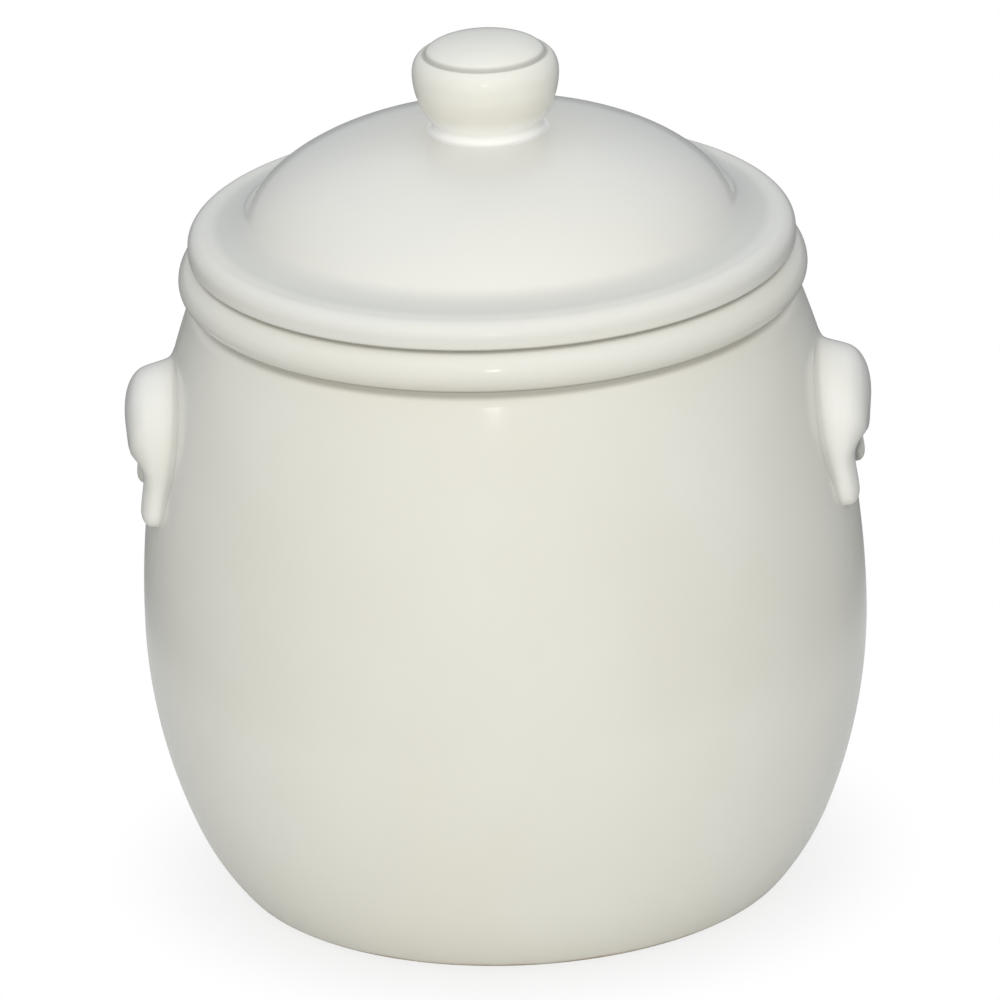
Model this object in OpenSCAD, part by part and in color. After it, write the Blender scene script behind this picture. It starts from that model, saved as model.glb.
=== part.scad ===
// Glazed stoneware cookie jar: a round-bellied jar with a rolled rim, two ear lugs
// and a loose domed lid with a turned knob.
// Millimetres, +Z up. The origin is the centre of the foot, on the table.
// The ears stand near the X axis, a little toward the front, and the lid lifts off along +Z.

/* [Jar body] */
// Outside radius of the belly at its widest
belly_r = 105; // [97:0.5:115]
// Height of the widest point of the belly
belly_z = 80.5; // [72:0.5:90]
// Height of the rim, where the lid rests
rim_z = 191.7; // [182:0.1:205]
// Profile radius of the wall below the belly
low_arc_r = 157; // [148:1:170]
// Height where the tighter foot curve begins
heel_z = 21.3; // [18:0.1:25]
// Outside radius where the wall meets the table
foot_r = 80.2; // [76:0.1:83]
// Thickness of the wall
wall_t = 6.5; // [5:0.1:8]
// Height of the inside floor
floor_z = 10; // [8:0.5:13]
// Radius of the curve between the floor and the wall, inside
floor_round = 22; // [14:1:30]
// Width of the unglazed foot ring
foot_ring_w = 9; // [6:0.5:12]
// Depth of the hollow inside the foot ring
foot_hollow = 2.5; // [1.5:0.1:4]

/* [Rim] */
// Outside radius of the rolled rim band
band_r = 90.6; // [87:0.1:94]
// Rounding of the band's lower half
band_low_round = 5.2; // [4:0.1:6]
// Rounding of the band's upper half
band_top_round = 7.2; // [6:0.1:8]
// Depth of the groove under the band
groove_d = 3.4; // [2:0.1:5]
// Drop from the underside of the band to the groove's bottom
groove_drop = 0.5; // [0.3:0.1:1.5]
// Height of the slope from the wall into the groove
groove_w = 2.4; // [1.6:0.1:3.2]
// Depth of the groove's bottom behind the line of the wall
groove_cut = 1.4; // [0.6:0.1:2]
// Radius of the mouth
mouth_r = 80; // [77:0.1:82]
// Rounding of the mouth's upper edge
mouth_round = 1.5; // [0.5:0.1:2.5]

/* [Ears] */
// Distance from the groove down to the top of an ear
ear_drop = 18.7; // [15:0.1:24]
// Height of an ear from its top to the ends of its legs
ear_h = 42.4; // [40:0.2:48]
// Overall width of an ear
ear_w = 45; // [40:0.5:50]
// How far the crown of an ear stands out from the wall
ear_reach = 10.7; // [8.5:0.1:13]
// Thickness of the crown, measured up the wall
crown_t = 27.6; // [24:0.2:29]
// Width of a leg where it leaves the crown
leg_w = 12.2; // [10:0.2:13]
// Width of a leg near its end
leg_end_w = 10; // [8:0.2:12]
// How far the end of a leg stands out from the wall
leg_reach = 4.4; // [3:0.1:6]
// Squareness of an ear's rounded section, where a lower value is squarer
ear_square = 0.5; // [0.4:0.05:0.9]
// Upright lean of the crown's face, where 0 follows the slope of the wall
ear_lean = 0.2; // [0:0.05:0.25]
// Angle by which each ear is set toward the front
ear_lead = 4; // [0:0.5:8]
// Thickness of the slip layer between an ear and the wall
slip_gap = 0.04; // [0.02:0.01:0.1]

/* [Lid] */
// Outside radius of the lid's brim
lid_r = 87.5; // [85:0.1:89]
// Thickness of the brim at its edge
brim_edge_t = 8; // [7:0.1:9.5]
// Rounding of the brim's upper edge
edge_top_round = 4.6; // [3:0.1:5.4]
// Rounding of the brim's lower edge
edge_low_round = 1.4; // [0.6:0.1:1.5]
// Radius of the dome where it rises from the brim
dome_r = 72.6; // [70:0.1:74]
// Rise of the dome's curve above its springing line
dome_h = 34; // [30:0.1:38]
// Fullness of the dome's curve, where 2 is an ellipse and more is flatter on top
dome_full = 2.2; // [2:0.05:2.5]
// Height of the dome's springing line above the rim
dome_spring = 2.8; // [2:0.1:4]
// How far the valley's curve reaches below the foot of the dome
valley_pull = 5.5; // [3.5:0.1:6]
// Height of the straight lip around the hollow of the lid
hollow_lip = 3.5; // [2:0.1:5]
// Thickness of the dome at its top
dome_t = 5.5; // [4.5:0.1:6.5]
// Thickness of the dome at its foot, measured level
dome_foot_t = 4; // [3.5:0.1:6]
// Radius of the flat on the dome that the knob stands on
seat_r = 18; // [17.8:0.1:19.5]
// Radius of the vent pierced under the knob
vent_r = 3; // [2:0.1:4]
// Depth of the locating ring under the lid
flange_h = 10; // [7:0.5:14]
// Thickness of the locating ring
flange_t = 6.5; // [5:0.1:7]
// Play between the locating ring and the mouth, all round
lid_play = 3; // [2:0.1:4]

/* [Knob] */
// Largest radius of the knob
knob_r = 21.1; // [19.5:0.1:23]
// Height of the knob's widest line above its foot
knob_belly_h = 17; // [16:0.1:18]
// Profile radius of the knob's flank
knob_flank_r = 23; // [22:0.1:24]
// Rounding where the flank flares into the foot
knob_foot_round = 1.4; // [1:0.1:1.8]
// Rounding of the knob's shoulder
knob_shoulder_r = 5; // [4:0.1:6]
// Height of the domed button above the shoulder
button_h = 5.8; // [4.5:0.1:7]
// Fullness of the button's curve, where 2 is an ellipse and more is flatter on top
button_full = 2.2; // [2:0.05:2.5]
// Depth of the ring groove around the button
button_groove = 0.4; // [0.2:0.1:1]
// Radius of the hollow inside the knob
knob_hollow_r = 7; // [5:0.1:8]
// Height of the knob's hollow above its foot
knob_hollow_h = 17; // [12:0.5:18]

/* [Hidden] */
$fn = 180;

cream = [0.90, 0.89, 0.85];
pale_cream = [0.94, 0.93, 0.89];

// Points on an arc, with both ends
function arc(c, r, from, to, n) =
    [for (i = [0:n]) let (a = from + (to - from)*i/n) c + r*[cos(a), sin(a)]];

// Points on a dome's curve, an ellipse drawn fuller at the shoulder, with both ends
function dome_curve(c, rx, ry, full, from, to, n) =
    [for (i = [0:n]) let (a = from + (to - from)*i/n) c + [rx*pow(cos(a), 2/full), ry*sin(a)]];
// Angle at which such a curve reaches a given part of its radius
function dome_angle(part, full) = acos(pow(part, full/2));

// Points on a curve from p to q that leaves and arrives along the lines to k
function bend(p, k, q, n) =
    [for (i = [0:n]) let (t = i/n) (1 - t)*(1 - t)*p + 2*t*(1 - t)*k + t*t*q];

function smooth_step(t) = let (s = min(max(t, 0), 1)) s*s*(3 - 2*s);

// Wall: two long arcs that share a vertical tangent at the belly
band_z = rim_z - band_top_round;
groove_z = band_z - band_low_round - groove_drop;
groove_r = band_r - groove_d;
up_rise = groove_z - belly_z;
up_sag = belly_r - groove_r;
up_arc_r = (up_rise*up_rise + up_sag*up_sag)/(2*up_sag);
low_c = [belly_r - low_arc_r, belly_z];
up_c = [belly_r - up_arc_r, belly_z];

function wall_r(z) = z < belly_z
    ? low_c[0] + sqrt(low_arc_r*low_arc_r - pow(z - belly_z, 2))
    : up_c[0] + sqrt(up_arc_r*up_arc_r - pow(z - belly_z, 2));

// Foot: an arc tangent to the lower wall that reaches the table at the foot radius
heel_a = asin((heel_z - belly_z)/low_arc_r);
heel_n = [cos(heel_a), sin(heel_a)];
heel_p = low_c + low_arc_r*heel_n;
heel_d = [foot_r, 0] - heel_p;
foot_arc_r = -(heel_d*heel_d)/(2*(heel_d*heel_n));
foot_c = heel_p - foot_arc_r*heel_n;
foot_a = -asin(foot_c[1]/foot_arc_r);

// Inside: the wall's arcs drawn in by its thickness, and a round onto the floor
floor_c_z = floor_z + floor_round;
low_in_r = low_arc_r - wall_t;
floor_c = [low_c[0] + sqrt(pow(low_in_r - floor_round, 2) - pow(floor_c_z - belly_z, 2)), floor_c_z];
floor_a = atan2(floor_c[1] - low_c[1], floor_c[0] - low_c[0]);
up_in_r = up_arc_r - wall_t;
neck_a = acos((mouth_r - up_c[0])/up_in_r);

module jar_body() {
    color(cream)
    rotate_extrude()
    polygon(concat(
        [[0, foot_hollow]],
        [[foot_r - foot_ring_w - foot_hollow, foot_hollow]],
        [[foot_r - foot_ring_w, 0]],
        arc(foot_c, foot_arc_r, foot_a, heel_a, 8),
        arc(low_c, low_arc_r, heel_a, 0, 16),
        arc(up_c, up_arc_r, 0, asin((up_rise - groove_w)/up_arc_r), 22),
        [[groove_r - groove_cut, groove_z]],
        arc([band_r - band_low_round, band_z], band_low_round, -78, 0, 10),
        arc([band_r - band_top_round, band_z], band_top_round, 0, 90, 12),
        arc([mouth_r + mouth_round, rim_z - mouth_round], mouth_round, 90, 180, 6),
        arc(up_c, up_in_r, neck_a, 0, 20),
        arc(low_c, low_in_r, 0, floor_a, 14),
        arc(floor_c, floor_round, floor_a, -90, 10),
        [[0, floor_z]]));
}

// Ears: a coil of clay bent into an arch and pressed against the wall
ear_top_z = groove_z - ear_drop;
crown_z = ear_top_z - crown_t/2;
leg_y = (ear_w - leg_w)/2;
arch_rise = 11*ear_h/42.4;
spring_z = crown_z - arch_rise;
leg_end_z = ear_top_z - ear_h + leg_end_w/2;
leg_splay = 1;
swell_low_z = spring_z - 5;
swell_top_z = spring_z + 6.2;
arch_steps = 28;
leg_steps = 6;
tip_steps = 5;
over_steps = 16;
seat_steps = 8;

// Mid line of the arch, from one leg end over the crown to the other: [y, z, angle]
function leg_point(side, t) =
    [side*(leg_y + leg_splay*t), spring_z + (leg_end_z - spring_z)*t, side*90];
function arch_point(a) = [leg_y*sin(a), spring_z + arch_rise*cos(a), a];
function tip_point(side, t) =
    [side*(leg_y + leg_splay), leg_end_z - leg_end_w/2*t, side*90];

// Half width of the coil: widest at the crown, narrower down the legs, round at the tips
function arch_half_w(a) = leg_w/2 + (crown_t - leg_w)/2*pow(cos(a), 2);
function leg_half_w(t) = leg_w/2 + (leg_end_w - leg_w)/2*t;
function swell(z) = smooth_step((z - swell_low_z)/(swell_top_z - swell_low_z));
function reach(z) = leg_reach + (ear_reach - leg_reach)*swell(z);

// One station of the coil: [mid point, direction across the coil, half width, reach]
function station(p, half_w, out) = let (k = atan2(sin(p[2])/leg_y, cos(p[2])/arch_rise))
    [[p[0], p[1]], [sin(k), cos(k)], half_w, out];
function leg_stations(side) =
    [for (i = [1:leg_steps]) let (p = leg_point(side, i/leg_steps))
        station(p, leg_half_w(i/leg_steps), reach(p[1]))];
function tip_stations(side) =
    [for (i = [1:tip_steps]) let (t = sin(82*i/tip_steps), c = sqrt(1 - t*t))
        station(tip_point(side, t), leg_end_w/2*c, leg_reach*pow(c, 0.6))];
function reversed(v) = [for (i = [len(v) - 1:-1:0]) v[i]];
ear_stations = concat(
    reversed(tip_stations(-1)),
    reversed(leg_stations(-1)),
    [for (i = [0:arch_steps]) let (p = arch_point(-90 + 180*i/arch_steps))
        station(p, arch_half_w(p[2]), reach(p[1]))],
    leg_stations(1),
    tip_stations(1));

// A point on the wall at y and z, moved out by a distance along X
function on_wall(p, out) = [sqrt(pow(wall_r(p[1]), 2) - p[0]*p[0]) + slip_gap + out, p[0], p[1]];
function lean(z) = ear_lean*(z - crown_z)*swell(z);
function over_point(s, t) = let (p = s[0] + s[2]*cos(t)*s[1])
    on_wall(p, (s[3] + lean(p[1]))*pow(sin(t), ear_square));
function seat_point(s, t) = on_wall(s[0] + s[2]*t*s[1], 0);
function ring(s) = concat(
    [for (i = [0:over_steps]) over_point(s, 180*i/over_steps)],
    [for (i = [1:seat_steps - 1]) seat_point(s, -1 + 2*i/seat_steps)]);

module ear() {
    ring_n = over_steps + seat_steps;
    last = len(ear_stations) - 1;
    points = concat(
        [for (s = ear_stations) each ring(s)],
        [for (s = [ear_stations[0], ear_stations[last]]) on_wall(s[0], s[3]/2)]);
    front_cap = (last + 1)*ring_n;
    back_cap = front_cap + 1;
    faces = concat(
        [for (i = [0:last - 1], j = [0:ring_n - 1]) let (k = (j + 1) % ring_n)
            each [[i*ring_n + j, (i + 1)*ring_n + j, (i + 1)*ring_n + k],
                  [i*ring_n + j, (i + 1)*ring_n + k, i*ring_n + k]]],
        [for (j = [0:ring_n - 1]) [front_cap, j, (j + 1) % ring_n]],
        [for (j = [0:ring_n - 1]) [back_cap, last*ring_n + (j + 1) % ring_n, last*ring_n + j]]);
    polyhedron(points, faces);
}

module right_ear() {
    color(pale_cream) rotate(-ear_lead) ear();
}

module left_ear() {
    color(pale_cream) mirror([1, 0, 0]) rotate(-ear_lead) ear();
}

// Lid: a brim with a rounded edge, a valley, a full dome and a flat for the knob
edge_top_c = [lid_r - edge_top_round, rim_z + brim_edge_t - edge_top_round];
edge_low_c = [lid_r - edge_low_round, rim_z + edge_low_round];
edge_end = edge_top_c + [0, edge_top_round];
spring_c = [0, rim_z + dome_spring];
dome_start_a = 17;
dome_start = dome_curve(spring_c, dome_r, dome_h, dome_full, dome_start_a, 90, 1)[0];
dome_run = dome_r*2/dome_full*pow(cos(dome_start_a), 2/dome_full - 1);
dome_dir = [dome_run*sin(dome_start_a), -dome_h*cos(dome_start_a)];
valley_k = dome_start + valley_pull*dome_dir/norm(dome_dir);
seat_a = dome_angle(seat_r/dome_r, dome_full);
seat_z = spring_c[1] + dome_h*sin(seat_a);
flange_r = mouth_r - lid_play;
hollow_r = dome_r - dome_foot_t;
hollow_c = [0, rim_z + hollow_lip];
hollow_h = seat_z - dome_t - hollow_c[1];

module lid() {
    color(cream)
    rotate_extrude()
    polygon(concat(
        [[vent_r, seat_z], [seat_r, seat_z]],
        dome_curve(spring_c, dome_r, dome_h, dome_full, seat_a, dome_start_a, 24),
        bend(dome_start, valley_k, edge_end, 12),
        arc(edge_top_c, edge_top_round, 90, 0, 14),
        arc(edge_low_c, edge_low_round, 0, -90, 6),
        [[hollow_r, rim_z]],
        dome_curve(hollow_c, hollow_r, hollow_h, dome_full, 0, dome_angle(vent_r/hollow_r, dome_full), 24)));
}

module lid_flange() {
    color(cream)
    rotate_extrude()
    polygon(concat(
        [[flange_r - flange_t, rim_z], [flange_r, rim_z]],
        arc([flange_r - flange_t/2, rim_z - flange_h + flange_t/2], flange_t/2, 0, -180, 12)));
}

// Knob: a flared foot, a bowl-shaped flank, a rounded shoulder and a domed button in a ring groove
knob_belly_z = seat_z + knob_belly_h;
flank_c = [knob_r - knob_flank_r, knob_belly_z];
foot_dz = knob_foot_round - knob_belly_h;
knob_foot_c = [flank_c[0] + sqrt(pow(knob_flank_r + knob_foot_round, 2) - foot_dz*foot_dz),
    seat_z + knob_foot_round];
flank_a = atan2(foot_dz, knob_foot_c[0] - flank_c[0]);
shoulder_c = [knob_r - knob_shoulder_r, knob_belly_z];
button_r = shoulder_c[0] - 0.3;
button_z = knob_belly_z + knob_shoulder_r - button_groove;

module lid_knob() {
    color(pale_cream)
    rotate_extrude()
    polygon(concat(
        [[knob_hollow_r, seat_z]],
        arc(knob_foot_c, knob_foot_round, 270, 180 + flank_a, 8),
        arc(flank_c, knob_flank_r, flank_a, 0, 12),
        arc(shoulder_c, knob_shoulder_r, 0, 86, 12),
        dome_curve([0, button_z], button_r, button_h, button_full, 0, 90, 18),
        arc([0, seat_z + knob_hollow_h - knob_hollow_r], knob_hollow_r, 90, 0, 8)));
}

jar_body();
left_ear();
right_ear();
lid();
lid_flange();
lid_knob();
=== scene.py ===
import math

import bmesh
import bpy
from bpy.props import FloatProperty, FloatVectorProperty, IntProperty, PointerProperty
from mathutils import Matrix, Vector


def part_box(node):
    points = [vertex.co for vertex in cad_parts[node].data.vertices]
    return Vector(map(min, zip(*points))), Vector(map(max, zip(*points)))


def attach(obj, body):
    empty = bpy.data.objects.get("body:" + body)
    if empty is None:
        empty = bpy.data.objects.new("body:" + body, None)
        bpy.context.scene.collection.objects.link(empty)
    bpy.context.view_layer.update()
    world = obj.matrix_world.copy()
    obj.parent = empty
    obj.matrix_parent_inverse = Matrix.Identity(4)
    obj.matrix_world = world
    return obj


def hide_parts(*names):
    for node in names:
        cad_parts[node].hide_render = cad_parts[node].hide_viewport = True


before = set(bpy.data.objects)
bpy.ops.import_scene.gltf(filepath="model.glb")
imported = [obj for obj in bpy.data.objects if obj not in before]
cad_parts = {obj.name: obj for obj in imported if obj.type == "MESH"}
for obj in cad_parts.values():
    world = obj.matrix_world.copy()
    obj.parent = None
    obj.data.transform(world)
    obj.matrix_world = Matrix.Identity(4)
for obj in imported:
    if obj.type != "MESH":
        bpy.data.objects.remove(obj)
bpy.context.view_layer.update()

bl_info = {
    "name": "Glazed Cookie Jar",
    "version": (1, 0, 0),
    "blender": (4, 5, 0),
    "location": "View3D > Sidebar > Cookie Jar",
    "description": "Models a round glazed jar with two pressed-on ears and a domed lid with a knob",
    "category": "Object",
}

MM = 0.001
# A height or radius beyond every piece, in metres
FAR = 1.0
WHITE = (1.0, 1.0, 1.0)
FULLNESS = "2 is an ellipse, more is flatter on top"

# Width of the camera's sensor in millimetres, and side of the picture in pixels
SENSOR = 36.0
PICTURE = 1000.0
# How far the foot's middle lies below and to the right of the picture's middle, in pixels
FOOT_BELOW, FOOT_RIGHT = 357.3, 15.5

# Scales of the noises and of the speck pattern, in turns per metre
CLOUDS, PEEL, WAVES, SPECKS, WAVER, SAND, PATCHES = 16.0, 120.0, 26.0, 105.0, 45.0, 900.0, 70.0
# Relief of the glaze and of the clay, in millimetres
WAVE_HIGH, PEEL_HIGH, PIT_HIGH, SAND_HIGH = 0.22, 0.012, -0.03, 0.08
# How far glaze lines waver, in metres
WAVER_WIDE = 0.0024
# Share of the pattern's cells without a speck, and how strongly a speck shows
SPECK_RARE, SPECK_SHARE = 0.985, 0.55
# Roughness of the glaze, from its smoothest to its dullest, and of the clay
GLAZE_ROUGH, CLAY_ROUGH = (0.12, 0.19), 0.82
# Iron specks in the glaze, and sand and pale patches in the clay
SPECK_TONE, SAND_TONE, PATCH_TONE = (0.42, 0.33, 0.22), (0.44, 0.35, 0.25), (0.75, 0.67, 0.55)


def half_width(node):
    """Half of a node's width along X, in millimetres."""
    low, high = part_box(node)
    return (high.x - low.x) / 2 / MM


def number(name, description, default, **kind):
    """A number that the sidebar shows, with its limits and its unit."""
    return FloatProperty(name=name, description=description, default=default, **kind)


def length(name, description, millimetres):
    """A length that the sidebar shows in the scene's units."""
    return number(name, description, millimetres * MM, min=0.0, precision=4, unit="LENGTH")


def angle(name, description, degrees):
    """An angle, given in degrees."""
    return number(name, description, math.radians(degrees), subtype="ANGLE")


def power(name, description, watts):
    """The power of a lamp."""
    return number(name, description, watts, min=0.0, subtype="POWER")


def colour(name, description, default):
    """A colour of the jar or its stage."""
    return FloatVectorProperty(name=name, description=description, default=default, size=3,
                               min=0.0, max=1.0, subtype="COLOR")


# Sizes and colours

class JarSizes(bpy.types.PropertyGroup):
    """Sizes of the pot, its rim and its foot"""
    belly_r: length("Belly radius", "Radius at the widest place", half_width("jar_body"))
    belly_z: length("Belly height", "Height of the widest place", 80.5)
    rim_z: length("Rim height", "Height of the rim under the lid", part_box("jar_body")[1].z / MM)
    low_arc_r: length("Lower wall arc", "Radius of the wall's arc below the belly", 157)
    heel_z: length("Heel height", "Height at which the wall turns in to the foot", 21.3)
    foot_r: length("Foot radius", "Outer radius of the foot ring", 80.2)
    foot_ring_w: length("Foot ring width", "Width of the ring that stands on the table", 9)
    foot_hollow: length("Foot hollow", "Depth of the hollow inside the foot ring", 2.5)
    foot_round: length("Foot edge", "Softening of the foot's outer edge", 1.6)
    wall_t: length("Wall", "Thickness of the wall", 6.5)
    floor_z: length("Inner floor", "Height of the floor inside", 10)
    floor_round: length("Floor round", "Rounding between wall and inner floor", 22)
    band_r: length("Band radius", "Radius of the rolled band under the lid", 90.6)
    band_low_round: length("Band lower round", "Rounding under the band", 5.2)
    band_top_round: length("Band top round", "Rounding over the band", 7.2)
    groove_d: length("Groove depth", "Depth of the groove under the band", 3.4)
    groove_drop: length("Groove drop", "Distance of the groove below the band", 0.5)
    groove_w: length("Groove width", "Height of the notch under the band", 2.4)
    groove_cut: length("Groove cut", "Depth of the notch behind the wall", 1.4)
    mouth_r: length("Mouth radius", "Radius of the opening", 80)
    mouth_round: length("Mouth edge", "Rounding of the inner rim", 1.5)
    turns: IntProperty(name="Facets round", default=96, min=24, max=192,
                       description="Sides of each turned piece before smoothing")


class EarSizes(bpy.types.PropertyGroup):
    """Sizes of the two ears"""
    drop: length("Drop", "Distance of the ear below the groove", 18.7)
    height: length("Height", "Height of the ear", 42.4)
    width: length("Width", "Width of the ear across its legs", 45)
    reach: length("Reach", "How far the crown stands out from the wall", 10.65)
    crown_t: length("Crown thickness", "Thickness of the coil at the crown", 27.6)
    leg_w: length("Leg width", "Width of the coil at the legs", 12.2)
    leg_end_w: length("Leg end width", "Width of the coil at the leg ends", 10)
    leg_reach: length("Leg reach", "How far a leg stands out from the wall", 4.35)
    square: number("Squareness", "Roundness of the coil's section, lower is squarer", 0.5,
                   min=0.3, max=1.0)
    lean: number("Lean", "Upright lean of the crown's face", 0.2, min=0.0, max=0.3)
    lead: angle("Lead", "Angle by which each ear is set toward the front", 4.0)
    smear: length("Smear", "Width of the clay smeared onto the wall round the ear", 7)
    smear_t: length("Smear thickness", "Thickness of the smeared clay", 0.45)


class LidSizes(bpy.types.PropertyGroup):
    """Sizes of the lid, its locating ring and its knob"""
    lid_r: length("Lid radius", "Outer radius of the brim", half_width("lid"))
    edge_t: length("Brim edge", "Thickness of the brim at its edge", 8)
    edge_top: length("Brim top edge", "Rounding of the brim's upper edge", 4.6)
    edge_low: length("Brim lower edge", "Rounding of the brim's lower edge", 1.4)
    dome_r: length("Dome radius", "Half width of the dome", 72.6)
    dome_h: length("Dome height", "Height of the full dome curve", 34)
    dome_full: number("Dome fullness", FULLNESS, 2.2, min=1.5, max=3.0)
    dome_spring: length("Dome spring", "Height of the dome's foot above the rim", 2.8)
    valley_pull: length("Valley pull", "How far the valley round the dome is drawn down", 5.5)
    hollow_lip: length("Hollow lip", "Height of the dome's hollow above the rim", 3.5)
    dome_t: length("Dome thickness", "Thickness at the top of the dome", 5.5)
    dome_foot_t: length("Dome foot thickness", "Thickness at the foot of the dome", 4)
    seat_r: length("Knob seat", "Radius of the flat that carries the knob", 18)
    vent_r: length("Vent radius", "Radius of the vent under the knob", 3)
    flange_h: length("Ring depth", "Depth of the locating ring", 10)
    flange_t: length("Ring thickness", "Thickness of the locating ring", 6.5)
    lid_play: length("Play", "Gap between locating ring and mouth", 3)
    knob_r: length("Knob radius", "Radius of the knob", half_width("lid_knob"))
    knob_belly_h: length("Knob belly", "Height of the knob's widest place", 17)
    knob_flank_r: length("Knob flank", "Radius of the flank's arc", 23)
    knob_foot_round: length("Knob foot", "Flare at the knob's foot", 1.4)
    knob_shoulder_r: length("Knob shoulder", "Width of the shoulder's rounding", 5)
    knob_shoulder_h: length("Knob shoulder height", "Height of the shoulder's rounding", 5.9)
    button_h: length("Button height", "Height of the domed button", 4.95)
    shoulder_full: number("Shoulder fullness", FULLNESS, 2.4, min=1.5, max=3.0)
    button_full: number("Button fullness", FULLNESS, 2.05, min=1.5, max=3.0)
    button_groove: length("Button groove", "Depth of the ring round the button", 0.4)
    knob_hollow_r: length("Knob hollow", "Radius of the hollow in the knob", 7)
    knob_hollow_h: length("Knob hollow height", "Height of the hollow in the knob", 17)


class GlazeLooks(bpy.types.PropertyGroup):
    """Colours of the glaze and the clay, and of the shade and light painted on them"""
    cream: colour("Cream glaze", "Main colour of the glaze", (0.790, 0.770, 0.690))
    cloud: colour("Clouded glaze", "Colour of the paler clouds in the glaze", (0.815, 0.800, 0.735))
    lid_cream: colour("Lid glaze", "Main colour of the lid's glaze", (0.790, 0.783, 0.735))
    knob_cream: colour("Knob glaze", "Main colour of the knob's glaze", (0.900, 0.888, 0.800))
    # Near-white cream: the ears' glaze lightened with painted light, and the pale ring round the
    # knob's foot, pooled glaze with a painted highlight
    painted_light_cream: colour("Ear glaze", "Main colour of the ears' thick glaze", (0.950, 0.945, 0.925))
    # Painted soft shade, in the lid's valley and along the outer edge of each ear's smear
    painted_shade_soft: colour("Pooled glaze", "Colour where the glaze runs together", (0.600, 0.602, 0.560))
    # Painted dark shade, in the groove under the band, the gap under the lid, the ears' recesses
    # and the ring round the knob's button
    seam: colour("Seam", "Colour of the dark lines where glaze gathers", (0.340, 0.330, 0.290))
    clay: colour("Bare clay", "Colour of the unglazed foot and seats", (0.640, 0.530, 0.400))


class StageLooks(bpy.types.PropertyGroup):
    """Floor, light and camera"""
    floor: colour("Floor", "Colour of the floor round the jar", (0.64, 0.64, 0.62))
    far_floor: colour("Far floor", "Colour of the floor further out", (0.30, 0.30, 0.29))
    horizon: colour("Surround", "Soft light from the sides", (0.46, 0.47, 0.495))
    zenith: colour("Overhead", "Soft light from above", (0.55, 0.59, 0.64))
    key: power("Front light", "Power of the front light", 44.0)
    fill: power("Back fill", "Power of the soft lamp behind the jar", 12.0)
    side: power("Side fill", "Power of the soft lamp at each side of the jar", 5.5)
    spark: power("Small lamp", "Power of the small lamp that the glaze mirrors", 2.4)
    lamp_away: length("Lamp distance", "Distance of each lamp from the jar's middle", 3000)
    lens: number("Lens", "Focal length of the camera", 432.0, min=1.0, unit="CAMERA")
    tilt: angle("Elevation", "Height of the camera above the table", 23.19)
    roll: angle("Roll", "Roll of the camera about its line of sight", -2.2)
    swing: angle("Azimuth", "Turn of the camera to the right of the jar's front", 1.1)
    distance: length("Distance", "Distance of the camera from the foot", 3520)


# Curves for the profiles

def dome_curve(centre, wide, high, full, start, end, steps):
    """Points on part of an ellipse that may be fuller at the shoulder, both ends included."""
    turn = [math.radians(start + (end - start) * i / steps) for i in range(steps + 1)]
    return [Vector((centre[0] + wide * math.cos(a) ** (2 / full), centre[1] + high * math.sin(a)))
            for a in turn]


def arc(centre, radius, start, end, steps):
    """Points on an arc from start to end, in degrees, both ends included."""
    return dome_curve(centre, radius, radius, 2, start, end, steps)


def polar(centre, radius, turn):
    """The point of a circle at an angle in radians."""
    return Vector((centre[0] + radius * math.cos(turn), centre[1] + radius * math.sin(turn)))


def dome_angle(part, full):
    """Angle, in degrees, at which a dome's curve reaches a part of its radius."""
    return math.degrees(math.acos(part ** (full / 2)))


def bend(start, pull, end, steps):
    """Points on a curve that leaves start and meets end along the lines to pull."""
    start, pull, end = Vector(start), Vector(pull), Vector(end)
    mix = [i / steps for i in range(steps + 1)]
    return [(1 - t) ** 2 * start + 2 * t * (1 - t) * pull + t * t * end for t in mix]


def spread(start, end, steps):
    """Points on a straight line, both ends included."""
    start, end = Vector(start), Vector(end)
    return [start.lerp(end, i / steps) for i in range(steps + 1)]


def softened(points, cut, steps=4):
    """A corner between two straight runs as a short bend: points are before, corner and after."""
    before, corner, after = (Vector(p) for p in points)
    return bend(corner + (before - corner).normalized() * cut, corner,
                corner + (after - corner).normalized() * cut, steps)


def smooth_step(t):
    """0 to 1 with flat ends."""
    s = min(max(t, 0.0), 1.0)
    return s * s * (3 - 2 * s)


def seat_height(s, d):
    """Height of the flat on the dome that carries the knob."""
    seat_a = math.radians(dome_angle(d.seat_r / d.dome_r, d.dome_full))
    return s.rim_z + d.dome_spring + d.dome_h * math.sin(seat_a)


class Wall:
    """The outside of the pot: two long arcs that share a vertical tangent at the belly."""

    def __init__(self, s):
        self.band_z = s.rim_z - s.band_top_round
        self.groove_z = self.band_z - s.band_low_round - s.groove_drop
        self.groove_r = s.band_r - s.groove_d
        self.belly_z = s.belly_z
        self.rise = self.groove_z - s.belly_z
        sag = s.belly_r - self.groove_r
        self.up_r = (self.rise ** 2 + sag ** 2) / (2 * sag)
        self.up_c = Vector((s.belly_r - self.up_r, s.belly_z))
        self.low_r = s.low_arc_r
        self.low_c = Vector((s.belly_r - s.low_arc_r, s.belly_z))

    def radius(self, z):
        """Radius of the wall at a height."""
        centre, r = (self.low_c, self.low_r) if z < self.belly_z else (self.up_c, self.up_r)
        return centre.x + math.sqrt(r * r - (z - self.belly_z) ** 2)


# Modelling steps that several pieces share

def fresh_start():
    """Leaves every object deselected, in object mode."""
    if bpy.context.mode != "OBJECT":
        bpy.ops.object.mode_set(mode="OBJECT")
    bpy.ops.object.select_all(action="DESELECT")


def started(name):
    """Names a mesh that was just added and opens it, all selected."""
    piece = bpy.context.object
    piece.name = piece.data.name = name
    bpy.ops.object.mode_set(mode="EDIT")
    return piece


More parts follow.
